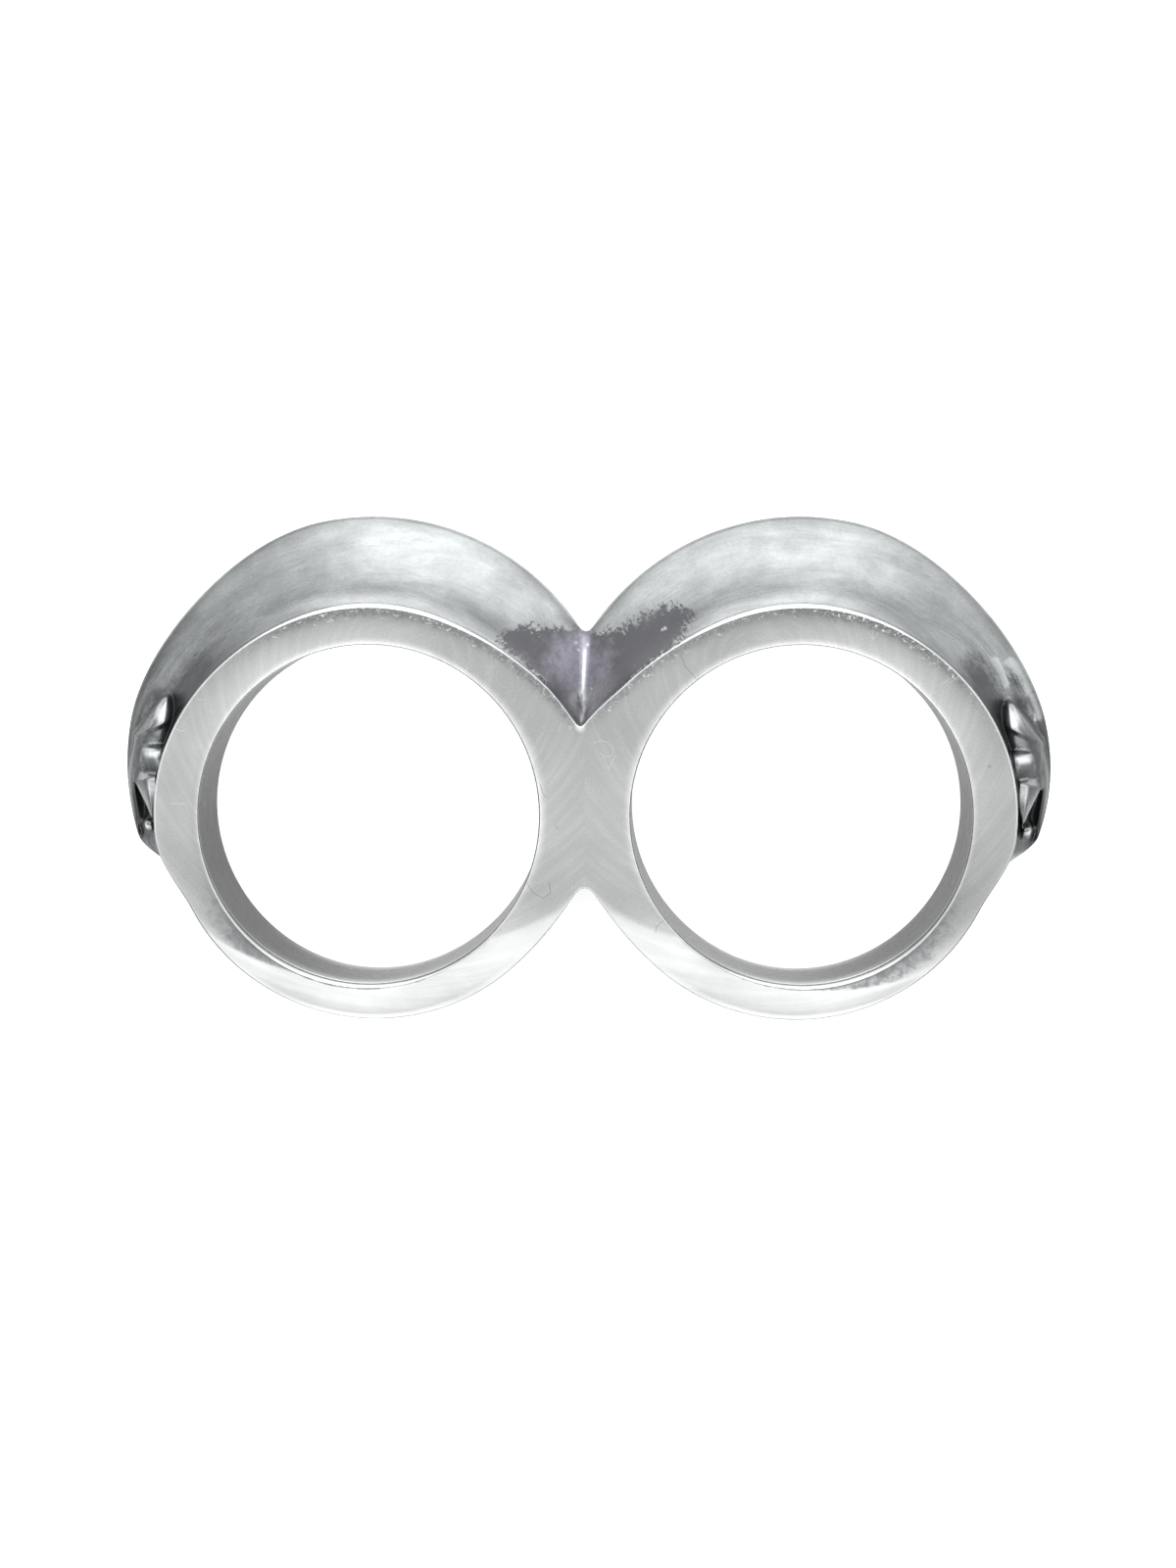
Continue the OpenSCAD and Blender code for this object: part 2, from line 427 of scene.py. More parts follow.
def along_line(x, y, start, end):
    """The share of the way from start to end, and the distance beside it."""
    ax = end[0] - start[0]
    ay = end[1] - start[1]
    length = math.hypot(ax, ay)
    u = ((x - start[0]) * ax + (y - start[1]) * ay) / length**2
    v = ((y - start[1]) * ax - (x - start[0]) * ay) / length
    return u, v


def leaf_mound(x, y):
    """A leaf with its tip up, whose lower end is cut off on a slant."""
    u, v = along_line(x, y, LEAF_TIP, LEAF_FOOT)
    half = LEAF_HALF[0] + LEAF_HALF[1] * clamp(u) ** 0.7
    above_cut = (x - LEAF_CUT[0]) * math.cos(LEAF_CUT_TURN)
    above_cut = above_cut + (y - LEAF_CUT[1]) * math.sin(LEAF_CUT_TURN)
    ridge = LEAF_RISE * smooth(0.0, 0.55, u) - LEAF_TIP_DROP - 9 * np.maximum(0.0, 0.03 - u)
    below = LEAF_CUT_DROP * smooth(0.12, -0.2, above_cut)
    below = below + 0.6 * np.maximum(0.0, -0.2 - above_cut)
    beside = np.abs(v / half)
    return ridge - below - 0.35 * beside**2 - 0.45 * beside**4


def bead_mound(x, y, centre, half, height):
    """A bead that leans back and falls off faster above its highest line."""
    dx = (x - centre[0]) / half[0]
    dy = (y - centre[1]) / half[1] - BEAD_LEAN
    return height - 0.9 * dx**4 - np.where(dy > 0, 2.4, 0.34) * dy**2


def lobe_mound(x, y):
    """A pointed lobe with a ridge and two facets, its point down."""
    u, v = along_line(x, y, LOBE_TOP, LOBE_TIP)
    outer = LOBE_OUTER[0] * (1.02 - clamp(u)) + LOBE_OUTER[1]
    inner = LOBE_INNER[0] * (1.02 - clamp(u) ** 2) + LOBE_INNER[1]
    beside = np.where(v > 0, v / outer, -v / inner)
    facets = 0.3 * np.sqrt(beside**2 + 0.04) + 6 * np.maximum(0.0, beside - 0.7) ** 2
    ends = 2.4 * np.maximum(0.0, 0.02 - u) + 2.5 * np.maximum(0.0, u - 0.95)
    return LOBE_HEIGHT - LOBE_DROP * u - facets - ends


def hollow_at(x, y):
    """The hollow beside the lobe: 1 along its bottom and 0 outside it."""
    u, v = along_line(x, y, HOLLOW_TOP, HOLLOW_END)
    half = mix(*HOLLOW_HALF, clamp(u))
    return np.maximum(0.0, 1 - (v / half) ** 2) * within(u, HOLLOW_ENDS)


def patch(x, y, middle, half):
    """1 in the middle of an oval and 0 from its edge on."""
    return bump(np.hypot((x - middle[0]) / half[0], (y - middle[1]) / half[1]), 0, 1)


def spot_highlight(x, y):
    """Painted highlight spots on the forms that stand up."""
    return np.max([level * patch(x, y, middle, half) for middle, half, level in HIGHLIGHT_SPOTS], axis=0)


def plate_at(x, y, start, end, half):
    """1 on a low plate, whose long sides bow outwards, and 0 beside it."""
    u, v = along_line(x, y, start, end)
    beside = np.abs(v + 0.9 * half * (1 - 4 * u * (1 - u)) - 0.1)
    return within(u, ((-0.04, 0.04), (1.04, 0.96))) * smooth(half + 0.06, half - 0.03, beside)


def shade_at(x, y, z, side):
    """How dark the stretch is that leads to the leaf."""
    start, end, half, level = SHADE[side]
    u, v = along_line(x, y, start, end)
    shade = within(u, ((-0.2, 0.6), (1.6, 1.1))) * smooth(half, 0.1, np.abs(v))
    return level * shade * smooth(0.9, 0.6, stand(z))


def relief(x, y, z, side):
    """Height of the flank with the relief on it, at points x and y about a
    hole's centre where the plain flank is z high, how dark it is there and
    its painted highlight, partly where its tops are really worn smooth."""
    own_x = x - RELIEF_SHIFT[side][0]
    own_y = y - RELIEF_SHIFT[side][1]
    r = np.hypot(own_x, own_y)
    top = HALF_W - TOP_DEPTH - TOP_SLOPE * (r - TOP_R)
    ground = z - GROUND_DEPTH * (within(own_y, GROUND_Y) * within(r, GROUND_R))
    leaf = top + leaf_mound(own_x, own_y)
    bead = top + bead_mound(own_x, own_y, BEAD, BEAD_HALF, BEAD_HEIGHT)
    lobe = top + lobe_mound(own_x, own_y)
    small = top + bead_mound(own_x, own_y, SMALL_BEAD, SMALL_BEAD_HALF, SMALL_BEAD_HEIGHT)
    large = np.maximum(np.maximum(leaf, bead), lobe)
    mounds = np.maximum(large, small)
    hollow = hollow_at(own_x, own_y)
    height = np.maximum(ground, mounds) - HOLLOW_DEPTH * hollow

    # Dark are the deep places, the hollow, the gap above the left bead, the skin
    # outside the relief and the creases, and painted shade on the bead's lower side.
    depth = top - height
    dark = np.maximum(smooth(0.35, 0.95, depth), hollow * smooth(-0.2, 0.6, own_y))
    on_bead = bead > height - SAME_HEIGHT
    # Painted shade on the bead's lower side.
    dark = np.maximum(dark, 0.95 * on_bead * smooth(3.3, 2.6, own_y))
    if side < 0:
        dark = np.maximum(dark, 0.7 * patch(own_x, own_y, *LEFT_GAP))
    outside = mix(0.35, 0.9, smooth(4.6, 3.4, own_y)) * smooth(12.9, 13.5, r)
    dark = np.maximum(0.72 * dark, outside)
    dark = np.maximum(dark, 0.9 * bump(large - ground, 0, 0.2))

    # Painted highlight on the tops, partly their real wear, strongest at the painted highlight spots.
    marked = within(own_y, MARKED_Y) * smooth(0.9, 0.65, stand(z))
    on_mound = mounds > height - SAME_HEIGHT
    lit_tops = marked * (on_mound * smooth(0.75, 0.25, depth) * smooth(13.6, 12.9, r))
    polish_and_highlight = lit_tops * mix(0.18, 1.0, spot_highlight(own_x, own_y))

    below_end = BELOW_END[side]
    below = smooth(-1.0, -1.4, own_y) * smooth(below_end - 0.7, below_end, own_y)
    dark = np.maximum(marked * dark, 0.75 * below)
    dark = np.maximum(dark, shade_at(x, y, z, side) * (1 - lit_tops))
    if side > 0:
        around = 0.62 * patch(x, y, *ROUND_PLATES)
        for start, end, half, level in PLATES:
            plate = plate_at(x, y, start, end, half)
            height = height + 0.03 * plate
            # Each plate carries a painted highlight.
            polish_and_highlight = np.maximum(polish_and_highlight, level * plate)
            dark = np.maximum(dark, around) * (1 - plate)
    return height, dark, polish_and_highlight


# Painted light and shade, stain and wear, kept as attributes of the mesh's points

# The stain beside the groove: its outer and inner radius round the left and
# the right hole, by the angle from the vertical towards the middle.
STAIN_OUTER = {
    -1: ((33, 11.0), (35, 12.1), (38.5, 13.55), (44, 14.5), (48, 15.4), (51, 17.0)),
    1: ((25, 11.0), (27.5, 12.9), (32.6, 14.0), (42.7, 14.4), (49, 15.2), (51, 17.0)),
}
STAIN_INNER = {
    -1: ((33, 12.4), (38, 11.95), (44, 11.3)),
    1: ((26, 12.7), (32, 12.1), (40, 11.4)),
}

# Painted light and shade of the crowns: the brightness at the outer end, what each of
# two stretches of angles adds, and where a darker patch lies on the flank, by angle and by stand.
CROWN_LIT_TONE = {
    -1: (0.13, (0.26, (10, 52)), (0.12, (68, 92)), (40, 26), (0.75, 0.2)),
    1: (0.12, (0.28, (15, 38)), (0.09, (50, 95)), (32, 20), (0.7, 0.2)),
}

# Painted light of a side face's outer edge and painted highlight of the holes' bevel, for by_turn.
EDGE_LIT_TONE = (0.5, (0.5, 94, 50), (-0.32, -32, 38))
BEVEL_LIT_TONE = (0.45, (0.5, -84, 42), (0.4, 90, 90))

# The scuffed band: where it lies along the rim, and its level for by_turn.
SCUFF_ALONG = {-1: ((40, 75), (168, 145)), 1: ((8, 45), (168, 145))}
SCUFF_LEVEL = {-1: (1,), 1: (0.8, (0.4, 68, 35))}


def by_table(table, x):
    return np.interp(x, [row[0] for row in table], [row[1] for row in table])


def by_turn(turn, level, *stretches):
    """A level that changes with the angle. A stretch is what is added there at
    the most, its middle and its reach."""
    for added, middle, reach in stretches:
        level = level + added * bump(turn, middle, reach)
    return level


def stain_depth(x, y, z, side):
    """Distance inside the stain's edge, negative outside. It ends above the
    holes' centre line, and a narrow strip along the left rim stays clean."""
    turn = turn_at(y, -x)
    r = np.hypot(x, y)
    depth = np.minimum(by_table(STAIN_OUTER[side], turn) - r, r - by_table(STAIN_INNER[side], turn))
    depth = np.minimum(depth, 0.2 * (80 - turn))
    strip = 0.42 * smooth(56, 46, turn) if side < 0 else 0.0
    return np.minimum(depth, HALF_W + 0.05 - strip - z)


def groove_highlight(x, y):
    """A painted highlight along the bottom of the groove, on its line, at places
    about the middle of the ring."""
    return 0.95 * smooth(0.15, 0.02, np.abs(x)) * within(y, ((5.2, 7.8), (9.4, 8.9)))


def crown_lit_tone(x, y, z, side):
    """Painted light and shade of the crowns: darker towards the outer ends,
    beside the rim and along the crest."""
    turn = turn_at(x, y)
    rise = stand(z)
    lit_tone, *stretches, dull_turns, dull_rise = CROWN_LIT_TONE[side]
    for added, turns in stretches:
        lit_tone = lit_tone + added * smooth(*turns, turn)
    dull = bump(turn, *dull_turns) * smooth(*dull_rise, rise)
    near_rim = mix(0.85, by_turn(turn, 0.52, (0.36, 92, 40)), smooth(0.015, 0.07, rise))
    near_rim = mix(near_rim, 1.0, smooth(0.12, 0.42, rise))
    return lit_tone * (1 - 0.5 * dull) * near_rim * mix(1.0, 0.68, smooth(0.8, 1.0, rise))


def bore_lit_tone(x, y, level):
    """Painted light and shade of a finger hole: level is 0 halfway and 1 at its
    mouth, where a painted highlight lies on the palm side."""
    turn = turn_at(x, y)
    lit_tone = by_turn(turn, 0.12, (0.19, -114, 62)) * by_turn(turn, 1, (-0.45, -5, 34))
    return lit_tone + 0.5 * bump(turn, -90, 50) * smooth(0.5, 0.95, level)


def face_lit_tone(x, y, share, side):
    """Painted light and shade of a side face: share is 0 beside the hole and 1 at
    the rim. The facet that is worn flat is painted lighter."""
    turn = turn_at(x, y)
    outer = smooth(-6, 3, x) * (side > 0)
    middle = 0.06 * bump(np.abs(turn), 180, 24)
    near_hole = by_turn(turn, 0.57, (0.23, 62, 75), (0.05 * outer - 0.31, -52, 50)) + middle
    near_rim = by_turn(turn, 0.53, (-0.12, 78, 70), (-0.05, -35, 40)) - 0.03 * outer + middle
    facet = by_turn(turn, 0.46, (0.16, -88, 32)) * mix(0.9, 1.0, smooth(0.0, 0.35, share))
    return mix(mix(near_hole, near_rim, share), facet, smooth(-0.06, 0.1, past_facet(x, y, side)))


def scuff(x, y, from_rim, side):
    """The scuffed band of a side face, just inside its rim at the top."""
    turn = turn_at(x, y)
    along = within(turn, SCUFF_ALONG[side]) * by_turn(turn, *SCUFF_LEVEL[side])
    return within(from_rim, ((0.0, 0.1), (0.9, 0.25))) * along


def mouth_dark_reflection(x, y, from_bore, side):
    """Painted dark reflection beside a hole, on the outer side below it, which
    ends at the worn facet, and a thin painted dark line at the mouth."""
    turn = turn_at(x, y)
    beside = within(turn, ((-14, -45), (-98, -84))) * smooth(1.5, 0.3, from_bore)
    beside = beside * smooth(0.05, -0.15, past_facet(x, y, side))
    return np.maximum(0.8 * beside, bump(turn, -80, 45) * smooth(0.1, 0.03, from_bore))


# The mesh


def inward(x, y):
    """Unit normals into the silver along the outline of the right half."""
    xs = np.concatenate([-x[1:2], x, -x[-2:-1]])
    ys = np.concatenate([y[1:2], y, y[-2:-1]])
    tx = xs[2:] - xs[:-2]
    ty = ys[2:] - ys[:-2]
    length = np.hypot(tx, ty)
    return ty / length, -tx / length


def face_shares(start, end, side):
    """Places of the face columns from a hole to the rim, as shares of that
    line, with one of them where the line crosses onto the worn facet."""
    t = np.linspace(0, 1, N_TRIED)[None, :]
    x = mix(start[0], end[0], t)
    y = mix(start[1], end[1], t)
    crossing = np.mean(past_facet(x - HALF_PITCH, y, side) < 0, axis=1)[:, None]
    crossing = np.clip(crossing, *CROSSING_LIMITS)
    share = np.linspace(0, 1, N_FACE + 1)[None, :]
    inner = crossing * (1 - (1 - share) ** CROWD_INNER)
    outer = mix(crossing, 1.0, share[:, 1:] ** CROWD_OUTER)
    return joined(inner, outer)


def hole_columns(rim_x, rim_y, inset_x, inset_y, side, is_rim):
    """The columns of the bore, its bevel and the side face, for rows whose
    outline ends at the rim, or at the middle line between the holes. Returns
    the coordinates and what is kept as attributes."""
    dx = rim_x - HALF_PITCH
    length = np.hypot(dx, rim_y)
    dx = dx / length
    dy = rim_y / length
    bevel = worn(BEVEL_WEAR, dx, dy)
    mouth_x = HALF_PITCH + (BORE_R + bevel) * dx
    mouth_y = (BORE_R + bevel) * dy
    mouth_z = face_z(mouth_x, mouth_y, side) - BORE_ROLL[0]

    level = 1 - (1 - np.linspace(0, 1, N_BORE + 1)[None, :-1]) ** CROWD_MOUTH
    bore_z = level * (mouth_z - bevel)
    bore_x = HALF_PITCH + BORE_R * dx + 0 * level
    bore_y = BORE_R * dy + 0 * level

    turn = np.linspace(0, math.pi / 2, N_BEVEL + 1)[None, :-1]
    share = 1 - np.cos(turn) ** BEVEL_FLATNESS
    bevel_x = HALF_PITCH + (BORE_R + bevel * share) * dx
    bevel_y = (BORE_R + bevel * share) * dy
    bevel_z = mouth_z - bevel * (1 - np.sin(turn) ** BEVEL_FLATNESS)

    t = face_shares((mouth_x, mouth_y), (inset_x, inset_y), side)
    face_x = mix(mouth_x, inset_x, t)
    face_y = mix(mouth_y, inset_y, t)
    from_bore = np.hypot(face_x - mouth_x, face_y - mouth_y)
    roll = BORE_ROLL[0] * (1 - clamp(from_bore / BORE_ROLL[1])) ** 2
    from_rim = np.hypot(face_x - inset_x, face_y - inset_y) + EDGE_WEAR[0]
    if is_rim:
        roll = roll + RIM_ROLL[0] * (1 - clamp(from_rim / RIM_ROLL[1])) ** 2
    x = joined(bore_x, bevel_x, face_x)
    y = joined(bore_y, bevel_y, face_y)
    z = joined(bore_z, bevel_z, face_z(face_x, face_y, side) - roll)
    marks = {name: np.zeros_like(x) for name in ATTRIBUTES}
    face = slice(N_BORE + N_BEVEL, None)
    # Painted light and shade of the bore, its bevel and the face.
    marks["lit_tone"][:, :N_BORE] = bore_lit_tone(dx, dy, level)
    marks["lit_tone"][:, N_BORE : N_BORE + N_BEVEL] = by_turn(turn_at(dx, dy), *BEVEL_LIT_TONE)
    out_x = face_x - HALF_PITCH
    marks["lit_tone"][:, face] = face_lit_tone(out_x, face_y, t, side)
    # Painted dark reflection beside the hole.
    marks["dark_reflection"][:, face] = mouth_dark_reflection(out_x, face_y, from_bore, side)
    if is_rim:
        marks["scuff"][:, face] = scuff(out_x, face_y, from_rim, side)
    return x, y, z, marks


def near_half(side):
    """Points of the near half of the right ring, a row for each place along
    the outline and a column for each place across the section."""
    w = np.full((N_ROWS, 1), float(HALF_W))
    for _ in range(N_SETTLING):
        rim_x, rim_y = skin_xy(w)
        w = face_z(rim_x, rim_y, side)
    in_x, in_y = inward(rim_x, rim_y)
    edge_r = worn(EDGE_WEAR, rim_x - HALF_PITCH, rim_y)
    inset_x = rim_x + edge_r * in_x
    inset_y = rim_y + edge_r * in_y
    x, y, z, marks = hole_columns(rim_x, rim_y, inset_x, inset_y, side, True)
    top = z[:, -1:]

    turn = np.linspace(math.pi / 2, 0, N_EDGE + 1)[None, 1:]
    edge_z = top - edge_r * (1 - np.sin(turn))
    bottom = edge_z[:, -1:]
    flank = mix(bottom, LAND_W / 2, np.linspace(0, 1, N_FLANK + 1)[None, 1:])
    land = np.full((N_ROWS, 1), LAND_W / 2) * np.linspace(1, 0, N_LAND + 1)[None, 1:]
    skin_z = joined(edge_z, flank, land)
    skin_x, skin_y = skin_xy(skin_z)
    inset = edge_r * (1 - np.cos(turn))
    skin_x[:, :N_EDGE] += inset * in_x
    skin_y[:, :N_EDGE] += inset * in_y

    out_x = skin_x - HALF_PITCH
    if side > 0:
        lift = END_LIFT * bump(turn_at(out_x, skin_y), *END_LIFTED) * stand(skin_z)
        skin_x = skin_x + lift
        out_x = out_x + lift
    # Painted light and shade of the crowns, and the stain.
    skin = {
        "lit_tone": crown_lit_tone(out_x, skin_y, skin_z, side),
        "stain": stain_depth(out_x, skin_y, skin_z, side),
    }
    high, dark, polish_and_highlight = relief(out_x, skin_y, skin_z, side)
    room = smooth(*ROOM_BELOW_EDGE, bottom - skin_z)
    room = room * smooth(LAND_W / 2, LAND_W / 2 + ROOM_BEFORE_LAND, skin_z)
    skin_z = mix(skin_z, np.minimum(high, bottom - RELIEF_DROP), room)
    skin["oxide"] = dark * room
    # Painted highlights on the relief's tops and along the groove's bottom.
    skin["polish_and_highlight"] = np.maximum(polish_and_highlight * room, groove_highlight(skin_x, skin_y))
    # Painted light and shade on the edge beside the rim.
    skin["lit_tone"][:, :N_EDGE] = by_turn(turn_at(rim_x - HALF_PITCH, rim_y), *EDGE_LIT_TONE)
    for name in ATTRIBUTES:
        marks[name] = joined(marks[name], skin.get(name, np.zeros_like(skin_x)))
    return joined(x, skin_x), joined(y, skin_y), joined(z, skin_z), marks


def middle_rows(top, bottom, side):
    """Rows of the side face that end on the middle line between the holes."""
    y = np.linspace(bottom, top, N_MIDDLE + 2)[1:-1, None]
    x = np.zeros_like(y)
    return hole_columns(x, y, x, y, side, False)


def with_point_shifted(x, y, z, side):
    """X of a half's points, before the left one is mirrored, after the move of
    the groove's point."""
    shift = POINT_SHIFT * bump(x, 0, POINT_REACH) * smooth(*POINT_HEIGHTS, y) * clamp(z / HALF_W)
    return x - side * shift


def closed(near, sign, last=-2):
    """Columns all the way round: the far half mirrors the near one from its
    column last back to the bore's middle, which both share."""
    return joined(near, sign * near[:, last:0:-1])


def half_ring(side):
    """Points and attributes of the right ring, to the middle line."""
    x, y, z, marks = near_half(side)
    x = with_point_shifted(x, y, z, side)
    mx, my, mz, middle_marks = middle_rows(y[0, N_HOLE - 1], y[-1, N_HOLE - 1], side)
    mx = with_point_shifted(mx, my, mz, side)
    ring = np.stack([closed(x, 1), closed(y, 1), closed(z, -1)], axis=2)
    web = np.stack([closed(mx, 1, -1), closed(my, 1, -1), closed(mz, -1, -1)], axis=2)
    points = np.concatenate([ring.reshape(-1, 3), web.reshape(-1, 3)])
    values = {}
    for name in ATTRIBUTES:
        middle = closed(middle_marks[name], 1, -1)
        values[name] = np.concatenate([closed(marks[name], 1).ravel(), middle.ravel()])
    return points, values


def ring_index(i, j):
    return i * SPAN + j % SPAN


def web_index(i, j):
    """Index in the rows of the middle; row -1 is the notch, the last the groove."""
    if i < 0:
        return ring_index(N_ROWS - 1, j)
    if i >= N_MIDDLE:
        return ring_index(0, j)
    column = j if j < N_HOLE else WEB_SPAN + j - SPAN
    return N_ROWS * SPAN + i * WEB_SPAN + column


def slot_of(j):
    """The material slot of the faces that begin at a column."""
    from_middle = j if j < N_COLUMNS - 1 else SPAN - 1 - j
    if from_middle < N_BORE:
        return BORE_SLOT
    if from_middle < N_HOLE - 1 + N_EDGE - N_EDGE_SKIN:
        return FACE_SLOT
    return SKIN_SLOT


def half_faces():
    """Faces of a half, as indices of its points, and the slot of each."""
    columns = [(ring_index, i, j) for i in range(N_ROWS - 1) for j in range(SPAN)]
    for i in range(-1, N_MIDDLE):
        columns += [(web_index, i, j % SPAN) for j in range(-N_HOLE + 1, N_HOLE - 1)]
    faces = []
    for index, i, a in columns:
        b = (a + 1) % SPAN
        corners = (index(i, a), index(i, b), index(i + 1, b), index(i + 1, a))
        faces.append((corners, slot_of(a)))
    return faces


def add_object(name, data):
    made = bpy.data.objects.new(name, data)
    bpy.context.scene.collection.objects.link(made)
    return made


def ring_object(materials):
    """The whole ring: two halves that share the points of the middle."""
    mesh = bmesh.new()
    layers = {name: mesh.verts.layers.float.new(name) for name in ATTRIBUTES}
    faces = half_faces()
    for side in (1, -1):
        points, values = half_ring(side)
        points = points * (side, 1, 1)
        points = (points + (0, HOLE_Y, HALF_W)) * MM
        verts = [mesh.verts.new(p) for p in points]
        for name, layer in layers.items():
            for v, value in zip(verts, values[name]):
                v[layer] = value
        for corners, slot in faces:
            face = mesh.faces.new([verts[i] for i in corners[::side]])
            face.material_index = slot
            face.smooth = True
    bmesh.ops.remove_doubles(mesh, verts=mesh.verts, dist=SAME_POINT)
    bmesh.ops.recalc_face_normals(mesh, faces=mesh.faces)
    data = bpy.data.meshes.new("silver_double_ring")
    mesh.to_mesh(data)
    mesh.free()
    for material in materials:
        data.materials.append(material)
    return add_object("silver_double_ring", data)


# Materials


class Graph:
    """Short calls that add nodes to a node tree and return their outputs."""

    def __init__(self, tree):
        self.tree = tree

    def node(self, kind, values, **settings):
        made = self.tree.nodes.new(kind)
        for name, value in settings.items():
            setattr(made, name, value)
        for key, value in values.items():
            self.put(made.inputs[key], value)
        return made

    def put(self, socket, value):
        if isinstance(value, bpy.types.NodeSocket):
            self.tree.links.new(value, socket)
        else:
            socket.default_value = value

    def math(self, operation, a, b=0.0, c=0.0):
        return self.node("ShaderNodeMath", {0: a, 1: b, 2: c}, operation=operation).outputs[0]

    def add(self, a, b):
        return self.math("ADD", a, b)

    def times(self, a, b):
        return self.math("MULTIPLY", a, b)

    def vector(self, operation, a, b):
        made = self.node("ShaderNodeVectorMath", {0: a, 1: b}, operation=operation)
        return made.outputs["Value" if operation in ("LENGTH", "DOT_PRODUCT") else "Vector"]

    def scaled(self, vector, x, y, z):
        return self.vector("MULTIPLY", vector, (x, y, z))

    def step(self, value, low, high, start=0.0, end=1.0):
        """A smooth step of value from start at low to end at high."""
        values = {"Value": value, "From Min": low, "From Max": high, "To Min": start, "To Max": end}
        return self.node("ShaderNodeMapRange", values, interpolation_type="SMOOTHSTEP").outputs["Result"]

    def noise(self, vector, scale=1.0, detail=2.0, roughness=0.5, distortion=0.0):
        values = {"Vector": vector, "Scale": scale, "Detail": detail}
        values |= {"Roughness": roughness, "Distortion": distortion}
        return self.node("ShaderNodeTexNoise", values).outputs[0]

    def cells(self, vector, scale):
        """Distance from the nearest of some scattered points."""
        values = {"Vector": vector, "Scale": scale}
        return self.node("ShaderNodeTexVoronoi", values).outputs["Distance"]

    def mix(self, share, a, b):
        """A number between a and b."""
        made = self.node("ShaderNodeMix", {0: share, 2: a, 3: b}, data_type="FLOAT")
        return made.outputs[0]

    def colour(self, share, a, b):
        made = self.node("ShaderNodeMix", {0: share, 6: a, 7: b}, data_type="RGBA")
        return made.outputs[2]

    def attribute(self, name):
        return self.node("ShaderNodeAttribute", {}, attribute_name=name).outputs["Fac"]

    def place(self):
        """Place on the ring in millimetres: X and Y from the point between the
        holes' centres, Z from the floor."""
        made = self.node("ShaderNodeTexCoord", {})
        place = self.scaled(made.outputs["Object"], 1 / MM, 1 / MM, 1 / MM)
        return self.vector("SUBTRACT", place, (0, HOLE_Y, 0))

    def round_place(self, place, off=(0, 0)):
        """Arc length round the nearer hole's centre, or round a point that
        lies off it, radius there and height, in millimetres. The two rings
        get different places, so that they don't mirror each other."""
        parts = self.node("ShaderNodeSeparateXYZ", {0: place})
        x = self.math("SUBTRACT", self.math("ABSOLUTE", parts.outputs[0]), HALF_PITCH + off[0])
        y = self.math("SUBTRACT", parts.outputs[1], off[1])
        turn = self.math("ARCTAN2", y, x)
        apart = self.times(self.math("SIGN", parts.outputs[0]), RINGS_APART)
        arc = self.math("MULTIPLY_ADD", turn, RIM_R, apart)
        radius = self.math("SQRT", self.add(self.times(x, x), self.times(y, y)))
        return self.node("ShaderNodeCombineXYZ", {0: arc, 1: radius, 2: parts.outputs[2]}).outputs[0]

    def hairs(self, vector, turn, stretch, scale, width, seed):
        """Fine lines along one direction: where a stretched noise crosses its
        middle, in places that a coarser noise picks."""
        values = {"Vector": vector, "Rotation": (0, 0, turn), "Location": (seed, -seed, seed)}
        turned = self.node("ShaderNodeMapping", values).outputs[0]
        field = self.noise(self.scaled(turned, 1 / stretch, 1, 1), scale, 1.0)
        line = self.step(self.math("ABSOLUTE", self.add(field, -0.5)), width, 0.0)
        pick = self.step(self.noise(turned, scale * 0.8, 1.0), 0.56, 0.66)
        return self.times(line, pick)

    def line(self, place, start, end, width):
        """1 on a thin straight line from start to end in the XY plane."""
        length = math.dist(start, end)
        ahead = ((end[0] - start[0]) / length, (end[1] - start[1]) / length, 0)
        middle = ((start[0] + end[0]) / 2, (start[1] + end[1]) / 2, 0)
        off = self.vector("SUBTRACT", place, middle)
        along = self.math("ABSOLUTE", self.vector("DOT_PRODUCT", off, ahead))
        beside = self.vector("DOT_PRODUCT", off, (-ahead[1], ahead[0], 0))
        beside = self.step(self.math("ABSOLUTE", beside), width, width * 0.3)
        return self.times(beside, self.step(along, length / 2 + width, length / 2))

    def lines(self, place, strokes, width):
        """1 on all the lines through the points of each stroke."""
        found = 0.0
        for points in strokes:
            for start, end in zip(points, points[1:]):
                found = self.math("MAXIMUM", found, self.line(place, start, end, width))
        return found

    def near(self, place, centre, reach):
        """1 at centre in the XY plane, and 0 from reach on."""
        flat = self.vector("SUBTRACT", self.scaled(place, 1, 1, 0), (*centre, 0))
        return self.step(self.vector("LENGTH", flat, (0, 0, 0)), reach, 0.0)

    def bump(self, height, distance, normal=None):
        """Height is in units of distance, a length in metres."""
        values = {"Height": height, "Distance": distance, "Strength": 1.0}
        if normal is not None:
            values["Normal"] = normal
        return self.node("ShaderNodeBump", values).outputs[0]


def metal(name, look, edge):
    """A metal whose colour, roughness and normal the function look gives, and
    whose reflection at a grazing angle is edge times a clean metal's."""
    material = bpy.data.materials.new(name)
    material.use_nodes = True
    graph = Graph(material.node_tree)
    shader = material.node_tree.nodes["Principled BSDF"]
    shader.inputs["Metallic"].default_value = 1
    shader.inputs["Specular Tint"].default_value = (edge, edge, edge, 1)
    for socket, value in zip(("Base Color", "Roughness", "Normal"), look(graph, graph.place())):
        graph.put(shader.inputs[socket], value)
    return material


# Colours of the metal, of what lies on it, and of painted light and shade.
SILVER = (0.985, 1.0, 1.0, 1)
BURNISHED = (0.955, 0.995, 1.0, 1)
BLACK = (0, 0, 0, 1)
# The painted dark reflection beside the holes.
DARK_REFLECTION = (0.13, 0.142, 0.146, 1)
OXIDE = (0.1, 0.104, 0.108, 1)
STAIN = (0.12, 0.12, 0.13, 1)
